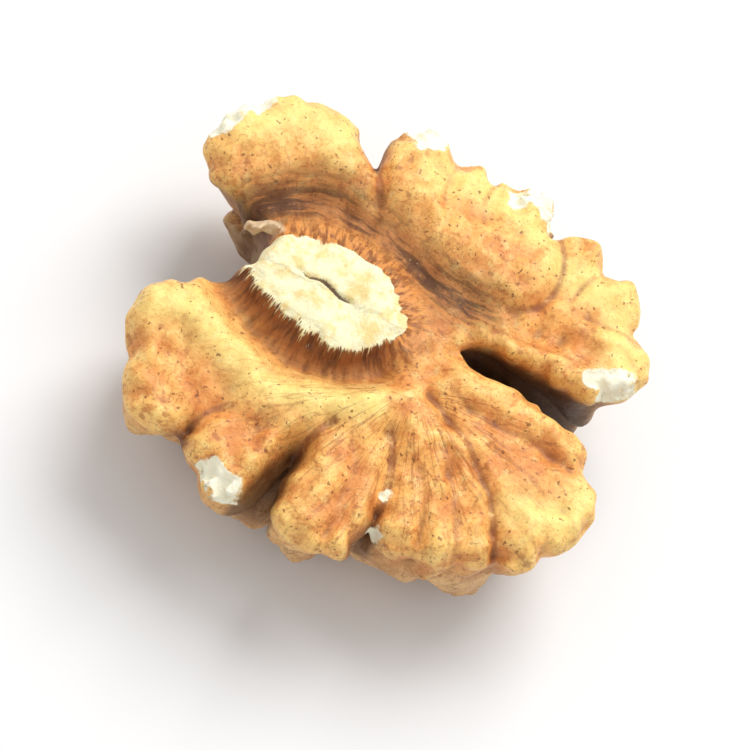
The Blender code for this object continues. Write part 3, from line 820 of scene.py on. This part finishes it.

# %% Painted highlights on the backs of the lobes, and painted shade in the creases between them
# A painted highlight lies along the backs of the largest lobes. These lines have full height, and
# each crease keeps the height of the furrow that it lies in, so the deeper furrows get more
# painted shade.
HIGHLIGHT_BACKS = (
    Line(1.0, 1.5, CUSHION),
    Line(1.0, 1.7, ((-8.6, 7.6), (-6.2, 9.2), (-3.6, 9.2))),
    Line(1.0, 1.3, ((3.0, 10.4), (5.6, 10.6), (8.4, 10.6), (10.8, 9.6))),
    Line(1.0, 1.5, ((12.6, 8.4), (16.6, 8.2), (18.6, 6.0), (19.2, 4.4))),
    Line(1.0, 1.4, ((17.6, -6.8), (20.0, -6.2), (20.8, -4.4))),
)
CREASE_WIDTH = 0.24
CREASE_SHADES = [line._replace(half_width=CREASE_WIDTH) for line in FURROWS if line.route != VALLEY]


def strongest(x, y, lines):
    """The highest of the lines' bells at each place in plan."""
    return np.max([e.height * bell(route_distance(x, y, e.route), e.half_width) for e in lines], axis=0)


px, py, pz = points.T
back_highlight = strongest(px, py, HIGHLIGHT_BACKS)
crease_shade = strongest(px, py, CREASE_SHADES)
print("the creases are up to", round(float(crease_shade.max()), 2), "mm deep")

# %% Zones
# A pair is where a zone starts and where it is whole. Levels are depths below the inner face,
# and below zero they are heights.
FACE_LEVELS = (-4.2, -2.6)
FACE_TILT = -0.2
OFF_FACE = 4
SLIT_MIDDLE = 0.5
SLIT_TAPER = 0.03
MOAT_ZONE_OUT, MOAT_ZONE_WIDTH = 0.2, 1.3
FLANK_ZONE_OUT, FLANK_ZONE_WIDTH = 0.3, 1.5
FLAKE_ZONE = (-0.35, -0.10)
VALLEY_WIDTH = 1.9
VALLEY_OFF_NECK = (0.5, 2.0)
VALLEY_END = (-13.5, -8.5)
FAN_ZONE_START = (0.6, 2.6)
FAN_ZONE_SIDE = (0.6, 2.4)
FAN_ZONE_REACH = 10.0
SLOT_ZONE_WIDTH = 1.0
NOTCH_ZONE_WIDTH = 0.8
NOTCH_ZONE_SHARE = 0.7
CLEFT_SHADE_LEVELS = (1.3, 3.0)
GAP_ZONE_WIDTH = 0.35
GAP_SHADE_LEVELS = (0.9, 2.6)
GAP_END = (-9.0, -5.0)
FURROW_SHADE = (0.012, 0.12)
BROAD_HOLLOW_SHADE = (0.05, 0.55)
CREST_HIGHLIGHT = (0.02, 0.40)
WALL_LEVELS = (1.4, 6.0)

neck_away = polygon_distance(px, py, neck_outline())
side = far_side(px, py)
unlifted = pz - sampled(relief, px, py)
face = smooth_step(pz, *FACE_LEVELS) * (normals[:, 2] > FACE_TILT)
valley_away = route_distance(px, py, VALLEY)
valley = bell(valley_away, VALLEY_WIDTH) * face * smooth_step(neck_away, *VALLEY_OFF_NECK)
fan_away = np.hypot(px - FAN_ROOT[0], py - FAN_ROOT[1])
fan_mask = smooth_step(fan_away, *FAN_ZONE_START)
fan_mask *= smooth_step(-py, *FAN_ZONE_SIDE) * bell(fan_away, FAN_ZONE_REACH)
slot_away = np.maximum(route_distance(px, py, SLOT_ROUTE, SLOT_HALF_WIDTH), 0)
notch_away = np.maximum(route_distance(px, py, NOTCH_ROUTE, NOTCH_HALF_WIDTH), 0)
notch_shade = NOTCH_ZONE_SHARE * bell(notch_away, NOTCH_ZONE_WIDTH)
cleft_shade = np.maximum(bell(slot_away, SLOT_ZONE_WIDTH), notch_shade)
gap_away = np.min([route_distance(px, py, *gap) for gap in GAPS], axis=0)
gap_shade = bell(np.maximum(gap_away, 0), GAP_ZONE_WIDTH)
slit_away = route_distance(px, py, SLIT) + SLIT_TAPER * (px - SLIT_MIDDLE) ** 2
zones = {
    "torn": torn_distance(px, py) + (1 - face) * OFF_FACE,
    "slit": slit_away + (1 - face) * OFF_FACE,
    "away": neck_away,
    # painted highlight along the backs of the largest lobes
    "back": back_highlight * face,
    "chip": chip_distance(px, py, unlifted),
    "near": 1 - side,
    "moat": bell(np.maximum(neck_away - MOAT_ZONE_OUT, 0), MOAT_ZONE_WIDTH) * (1 - side) * face,
    "flank": bell(np.maximum(neck_away - FLANK_ZONE_OUT, 0), FLANK_ZONE_WIDTH) * side * face,
    # painted shade along the creases, stronger in the deeper furrows
    "crease": crease_shade * face,
    "flake": smooth_step(-flake_distance(px, py, unlifted), *FLAKE_ZONE),
    "valley": valley * smooth_step(-px, *VALLEY_END),
    "fan": fan_mask * face,
    # painted shadow inside the slot and the notch, darker lower down
    "cleft": cleft_shade * smooth_step(-pz, *CLEFT_SHADE_LEVELS),
    # painted shade between lobes that stand apart, darker lower down
    "gap": gap_shade * smooth_step(-pz, *GAP_SHADE_LEVELS) * smooth_step(pz, *GAP_END),
    # painted shade in the fine furrows and in the broad hollows
    "furrow": smooth_step(fine_hollow, *FURROW_SHADE),
    "hollow": smooth_step(broad_hollow, *BROAD_HOLLOW_SHADE),
    # painted highlight where the skin stands out from its neighbourhood
    "crest": smooth_step(-broad_hollow, *CREST_HIGHLIGHT),
    "wall": smooth_step(-pz, *WALL_LEVELS),
}
for name, values in zones.items():
    layer = mesh.attributes.new(name, "FLOAT", "POINT")
    layer.data.foreach_set("value", values)
    print(name, "runs from", round(float(values.min()), 2), "to", round(float(values.max()), 2))

# %% Directions for streaks
# A streak runs where its coordinates change slowly: out from the neck's edge, out over the
# fan, and along the valley.
NECK_PACE = 0.25
FAN_PACE = 0.12
VALLEY_PACE = 0.12

edge_x, edge_y = nearest_edge(px, py, neck_outline())
fan_x, fan_y, fan_away = fan_place(px, py)
maps = {
    "neck_map": (edge_x, edge_y, neck_away * NECK_PACE),
    "fan_map": (fan_x, fan_y, fan_away * FAN_PACE),
    "valley_map": (valley_away, px * VALLEY_PACE, py * VALLEY_PACE),
}
for name, parts in maps.items():
    layer = mesh.attributes.new(name, "FLOAT_VECTOR", "POINT")
    layer.data.foreach_set("vector", np.column_stack(parts).ravel())
print("streaks follow", ", ".join(maps))

# %% [markdown]
# ## The skin's finish
#
# The finish is built up like the skin itself. A golden paper with brown mottling lies over all.
# Painted shade darkens it in the furrows, hollows, creases, gaps and clefts, and it is a darker
# brown in the moat, darkest next to the neck. Fine fibres run out from the neck. Where the
# skin is torn off, the dry flesh is pale, rough and dull, while the skin has a satin gloss.

# %% Shader helpers


def colour(red, green, blue):
    """A colour that is given as screen values from 0 to 255, as the shader wants it."""
    share = np.array([red, green, blue]) / 255
    linear = np.where(share > 0.04045, ((share + 0.055) / 1.055) ** 2.4, share / 12.92)
    return (*linear.tolist(), 1.0)


class Tree:
    """Adds shader nodes one after another and links their sockets."""

    def __init__(self, tree):
        self.tree = tree

    def node(self, kind, inputs=None, **settings):
        """A new node with its settings, and its inputs set to values or linked to sockets."""
        made = self.tree.nodes.new(kind)
        for name, value in settings.items():
            setattr(made, name, value)
        for name, value in (inputs or {}).items():
            if isinstance(value, bpy.types.NodeSocket):
                self.tree.links.new(value, made.inputs[name])
            else:
                made.inputs[name].default_value = value
        return made

    def zone(self, name):
        """The value of a zone of the mesh."""
        return self.node("ShaderNodeAttribute", attribute_name=name).outputs["Fac"]

    def map(self, name):
        """The direction map of a streak."""
        return self.node("ShaderNodeAttribute", attribute_name=name).outputs["Vector"]

    def math(self, operation, first, second=0.0):
        """The result of a sum on two values."""
        return self.node("ShaderNodeMath", {0: first, 1: second}, operation=operation).outputs[0]

    def times(self, first, second):
        """The product of two values."""
        return self.math("MULTIPLY", first, second)

    def mixed(self, share, first, second):
        """Two colours mixed by a share."""
        inputs = {"Factor": share, 6: first, 7: second}
        return self.node("ShaderNodeMix", inputs, data_type="RGBA").outputs[2]

    def layered(self, under, *layers):
        """A colour with layers laid over it, each given as its mask, its strength and its colour."""
        for mask, strength, over in layers:
            under = self.mixed(self.times(mask, strength), under, over)
        return under

    def noise(self, place, scale, detail, roughness):
        """The value of a noise with about so many features in a unit of the place."""
        inputs = {"Vector": place, "Scale": scale, "Detail": detail, "Roughness": roughness}
        return self.node("ShaderNodeTexNoise", inputs).outputs["Fac"]

    def stepped(self, value, start, end):
        """0 before start and 1 after end, with a smooth rise between them."""
        inputs = {"Value": value, "From Min": start, "From Max": end}
        made = self.node("ShaderNodeMapRange", inputs, interpolation_type="SMOOTHSTEP")
        return made.outputs["Result"]

    def line(self, value, middle, half_width):
        """1 where the value is at the middle, falling to 0 a half width away."""
        away = self.math("ABSOLUTE", self.math("SUBTRACT", value, middle))
        return self.stepped(away, half_width, 0.0)


skin = bpy.data.materials.new("walnut_skin")
skin.use_nodes = True
skin.node_tree.nodes.clear()
tree = Tree(skin.node_tree)
local = tree.node("ShaderNodeTexCoord").outputs["Object"]
in_mm = tree.node("ShaderNodeVectorMath", {0: local, "Scale": 1 / MM}, operation="SCALE")
place = in_mm.outputs["Vector"]
print("the shader counts in millimetres")

# %% Noises of the skin
# Each noise: about how many features lie in a millimetre or in a unit of its map, its detail
# and its roughness
patches = tree.noise(place, 0.30, 3.0, 0.6)
mottle = tree.noise(place, 0.95, 4.0, 0.65)
grain = tree.noise(place, 3.4, 4.0, 0.7)
fine_grain = tree.noise(place, 5.0, 1.0, 0.5)
specks = tree.noise(place, 3.0, 1.0, 0.4)
blots = tree.noise(place, 1.25, 2.0, 0.5)
veins = tree.noise(place, 0.55, 3.0, 0.55)
fine_veins = tree.noise(place, 1.3, 2.0, 0.5)
crumb = tree.noise(place, 4.5, 4.0, 0.7)
radial = tree.noise(tree.map("neck_map"), 3.6, 3.0, 0.65)
frayed = tree.noise(tree.map("neck_map"), 9.0, 2.0, 0.6)
fan_streaks = tree.noise(tree.map("fan_map"), 1.4, 2.0, 0.6)
valley_streaks = tree.noise(tree.map("valley_map"), 2.2, 4.0, 0.65)
print("the noises take", len(skin.node_tree.nodes), "nodes")

# %% Golden skin
# Over the golden paper lie painted highlights on its crests and on the backs of the largest lobes,
# then mottling, blots and specks, and veins, which run along the middle value of a noise. The
# painted highlight on the backs clears away most of the darker mottling, grain, blots and veins.
# The two numbers of a step are the values where its mask starts and where it is whole.
HIGHLIGHT_CLEARS = 0.7
VEIN_VALUE = 0.5
VEIN_WIDTH = 0.014
FINE_VEIN_WIDTH = 0.016

off_back_highlight = tree.math("SUBTRACT", 1.0, tree.times(tree.zone("back"), HIGHLIGHT_CLEARS))
paper = tree.mixed(tree.stepped(patches, 0.38, 0.62), colour(252, 186, 102), colour(228, 150, 78))
paper = tree.layered(
    paper,
    # painted highlight: lighter, yellower skin on the crests
    (tree.zone("crest"), 0.60, colour(255, 216, 126)),
    # painted highlight: paler, yellower skin on the backs of the largest lobes
    (tree.zone("back"), 0.80, colour(255, 228, 138)),
    (tree.times(tree.stepped(mottle, 0.50, 0.66), off_back_highlight), 0.60, colour(208, 120, 52)),
    (tree.stepped(mottle, 0.46, 0.32), 0.45, colour(255, 230, 150)),
    (tree.times(tree.stepped(grain, 0.50, 0.68), off_back_highlight), 0.50, colour(184, 104, 46)),
    (tree.times(tree.stepped(blots, 0.60, 0.72), off_back_highlight), 0.55, colour(158, 86, 38)),
    (tree.stepped(specks, 0.68, 0.74), 0.70, colour(110, 56, 24)),
    (tree.times(tree.line(veins, VEIN_VALUE, VEIN_WIDTH), off_back_highlight), 0.45, colour(150, 82, 38)),
    (tree.line(fine_veins, VEIN_VALUE, FINE_VEIN_WIDTH), 0.22, colour(160, 92, 44)),
)
print("with the golden skin there are", len(skin.node_tree.nodes), "nodes")

# %% The wall's duller skin
WALL_VEIN_WIDTH = 0.020

wall_tone = tree.mixed(tree.stepped(patches, 0.36, 0.64), colour(222, 180, 128), colour(194, 146, 98))
wall_tone = tree.layered(
    wall_tone,
    (tree.stepped(mottle, 0.44, 0.70), 0.60, colour(150, 100, 58)),
    (tree.line(veins, VEIN_VALUE, WALL_VEIN_WIDTH), 0.60, colour(128, 78, 42)),
    (tree.stepped(grain, 0.52, 0.70), 0.35, colour(140, 90, 50)),
)
print("with the wall there are", len(skin.node_tree.nodes), "nodes")

# %% Darker zones
# The tones of the valley, the flank and the moat are streaked. The moat is darkest at the neck.
FAN_LINE_WIDTH = 0.035
MOAT_DARKEST = (2.0, 0.2)

valley_tone = tree.mixed(
    tree.stepped(valley_streaks, 0.40, 0.56), colour(178, 118, 68), colour(62, 42, 34)
)
valley_tone = tree.layered(valley_tone, (tree.stepped(grain, 0.50, 0.64), 0.50, colour(78, 50, 38)))
flank_tone = tree.mixed(tree.stepped(radial, 0.40, 0.60), colour(222, 148, 76), colour(128, 70, 30))
near_edge = tree.stepped(tree.zone("away"), *MOAT_DARKEST)
moat_light = tree.mixed(near_edge, colour(222, 148, 78), colour(154, 96, 54))
moat_dark = tree.mixed(near_edge, colour(178, 110, 56), colour(92, 54, 32))
moat_tone = tree.mixed(tree.stepped(radial, 0.38, 0.64), moat_light, moat_dark)
# painted shade along the creases, broken up by mottling
crease_shade_mask = tree.times(tree.stepped(tree.zone("crease"), 0.05, 0.45), tree.stepped(mottle, 0.30, 0.50))
glints = tree.times(tree.stepped(fine_grain, 0.75, 0.80), tree.stepped(tree.zone("valley"), 0.6, 0.9))
fan_lines = tree.times(tree.line(fan_streaks, VEIN_VALUE, FAN_LINE_WIDTH), tree.zone("fan"))
paper = tree.layered(
    paper,
    (tree.zone("wall"), 0.85, wall_tone),
    # painted shade in the broad hollows
    (tree.zone("hollow"), 0.55, colour(146, 84, 40)),
    (crease_shade_mask, 0.60, colour(140, 76, 36)),
    (tree.zone("valley"), 0.90, valley_tone),
    (glints, 0.60, colour(240, 216, 176)),
    (fan_lines, 0.65, colour(132, 70, 30)),
    (tree.zone("flank"), 0.90, flank_tone),
    (tree.zone("moat"), 0.95, moat_tone),
    # painted shade in the fine furrows
    (tree.zone("furrow"), 0.60, colour(104, 56, 26)),
    # painted shade in the gaps between lobes
    (tree.zone("gap"), 0.75, colour(84, 46, 24)),
    # painted shadow inside the slot and the notch
    (tree.zone("cleft"), 0.90, colour(56, 32, 20)),
)
print("with the darker zones there are", len(skin.node_tree.nodes), "nodes")

# %% Pale flesh
# The skin's torn edge is frayed, most of all on the near side, where fibres of flesh reach out
# over the moat. The edges of the chips and of the slit are crumbly.
FRAY = 0.9
FAR_FRAY = 0.35
CHIP_CRUMBLE = 0.6
SLIT_CRUMBLE = 0.25

fray = tree.times(tree.math("SUBTRACT", frayed, 0.5), FRAY)
fray = tree.times(fray, tree.math("ADD", tree.zone("near"), FAR_FRAY))
flesh = tree.stepped(tree.math("ADD", tree.zone("torn"), fray), 0.12, -0.05)
crumbled = tree.math("SUBTRACT", crumb, 0.5)
chip_edge = tree.math("ADD", tree.zone("chip"), tree.times(crumbled, CHIP_CRUMBLE))
chip = tree.stepped(chip_edge, 0.22, -0.04)
bare = tree.math("MAXIMUM", flesh, chip)
slit_edge = tree.math("ADD", tree.zone("slit"), tree.times(crumbled, SLIT_CRUMBLE))
slit = tree.stepped(slit_edge, 0.18, 0.08)
flesh_tone = tree.mixed(tree.stepped(mottle, 0.42, 0.66), colour(252, 245, 204), colour(246, 220, 152))
flesh_tone = tree.layered(
    flesh_tone,
    (tree.stepped(crumb, 0.50, 0.74), 0.35, colour(230, 192, 128)),
    (chip, 0.75, colour(255, 251, 232)),
    (slit, 0.90, colour(84, 44, 22)),
)
base = tree.mixed(bare, paper, flesh_tone)
flake_tone = tree.mixed(crumb, colour(240, 216, 178), colour(176, 138, 100))
base = tree.mixed(tree.zone("flake"), base, flake_tone)
print("with the flesh there are", len(skin.node_tree.nodes), "nodes")

# %% Gloss and fine relief
# Each part of the relief is a noise, where it lies and its share of the height
GLOSSIEST = 0.36
GRAIN_DULLS = 0.25
BARE_DULLS = 0.25
BUMP_STRENGTH = 0.7
BUMP_HEIGHT = 0.2 * MM

gloss = tree.math("ADD", tree.times(grain, GRAIN_DULLS), GLOSSIEST)
dull = tree.math("MAXIMUM", bare, tree.math("MAXIMUM", tree.zone("moat"), tree.zone("valley")))
roughness = tree.math("ADD", gloss, tree.times(dull, BARE_DULLS))
fibred = tree.math("ADD", tree.zone("moat"), tree.zone("flank"))
height = tree.times(mottle, 0.5)
for noise, where, share in (
    (grain, 1.0, 0.35),
    (radial, fibred, 0.8),
    (fan_streaks, tree.zone("fan"), 0.5),
    (crumb, bare, 0.8),
):
    height = tree.math("ADD", height, tree.times(tree.times(noise, where), share))
bump = tree.node(
    "ShaderNodeBump", {"Strength": BUMP_STRENGTH, "Distance": BUMP_HEIGHT, "Height": height}
)
finish = tree.node(
    "ShaderNodeBsdfPrincipled",
    {
        "Base Color": base,
        "Roughness": roughness,
        "Specular IOR Level": 0.4,
        "Subsurface Weight": 0.12,
        "Subsurface Radius": (1.0, 0.5, 0.25),
        "Subsurface Scale": 0.7 * MM,
        "Normal": bump.outputs["Normal"],
    },
)
tree.node("ShaderNodeOutputMaterial", {"Surface": finish.outputs["BSDF"]})
mesh.materials.append(skin)
print("the skin's material has", len(skin.node_tree.nodes), "nodes")

# %% [markdown]
# ## The floor, the light and the camera
#
# The kernel lies on a white floor. The main light comes from behind it and above, so the rims
# cast soft shadows towards the camera, and white surroundings fill them.

# %% Floor
FLOOR_HALF = 1.2
FLOOR_TONE = colour(233, 233, 233)
FLOOR_ROUGHNESS = 0.9

bed = bpy.data.meshes.new("floor")
corners = [(-1, -1), (1, -1), (1, 1), (-1, 1)]
bed.from_pydata([(FLOOR_HALF * x, FLOOR_HALF * y, 0.0) for x, y in corners], [], [(0, 1, 2, 3)])
floor = bpy.data.objects.new("floor", bed)
bpy.context.scene.collection.objects.link(floor)
paint = bpy.data.materials.new("floor_paint")
paint.use_nodes = True
paint.node_tree.nodes["Principled BSDF"].inputs["Base Color"].default_value = FLOOR_TONE
paint.node_tree.nodes["Principled BSDF"].inputs["Roughness"].default_value = FLOOR_ROUGHNESS
bed.materials.append(paint)
print("the floor is", 2 * FLOOR_HALF, "m wide")

# %% Light
KEY_FROM = Vector((0.06, 0.28, 0.42))
KEY_SIZE = 0.32
KEY_POWER = 2.1
FILL_STRENGTH = 0.70

lamp = bpy.data.lights.new("key", "AREA")
lamp.size = KEY_SIZE
lamp.energy = KEY_POWER
key = bpy.data.objects.new("key", lamp)
key.location = KEY_FROM
key.rotation_mode = "QUATERNION"
key.rotation_quaternion = KEY_FROM.to_track_quat("Z", "Y")
bpy.context.scene.collection.objects.link(key)
world = bpy.data.worlds.new("surroundings")
world.use_nodes = True
world.node_tree.nodes["Background"].inputs["Color"].default_value = (1, 1, 1, 1)
world.node_tree.nodes["Background"].inputs["Strength"].default_value = FILL_STRENGTH
bpy.context.scene.world = world
bpy.context.scene.view_settings.view_transform = "Standard"
print("the main light stands", round(KEY_FROM.length, 2), "m away")

# %% Camera
ELEVATION = np.radians(66)
ROLL = np.radians(27.5)
AIM = Vector((0.0, -0.6 * MM, 6.4 * MM))
REACH = 0.34
LENS = 252.0

back = Vector((0.0, -np.cos(ELEVATION), np.sin(ELEVATION)))
lens = bpy.data.cameras.new("camera")
lens.lens = LENS
camera = bpy.data.objects.new("camera", lens)
camera.location = AIM + REACH * back
camera.rotation_mode = "QUATERNION"
camera.rotation_quaternion = (-back).to_track_quat("-Z", "Y") @ Quaternion((0, 0, 1), ROLL)
bpy.context.scene.collection.objects.link(camera)
bpy.context.scene.camera = camera
print("the camera sees", round(lens.sensor_width / LENS * REACH / MM, 1), "mm across")
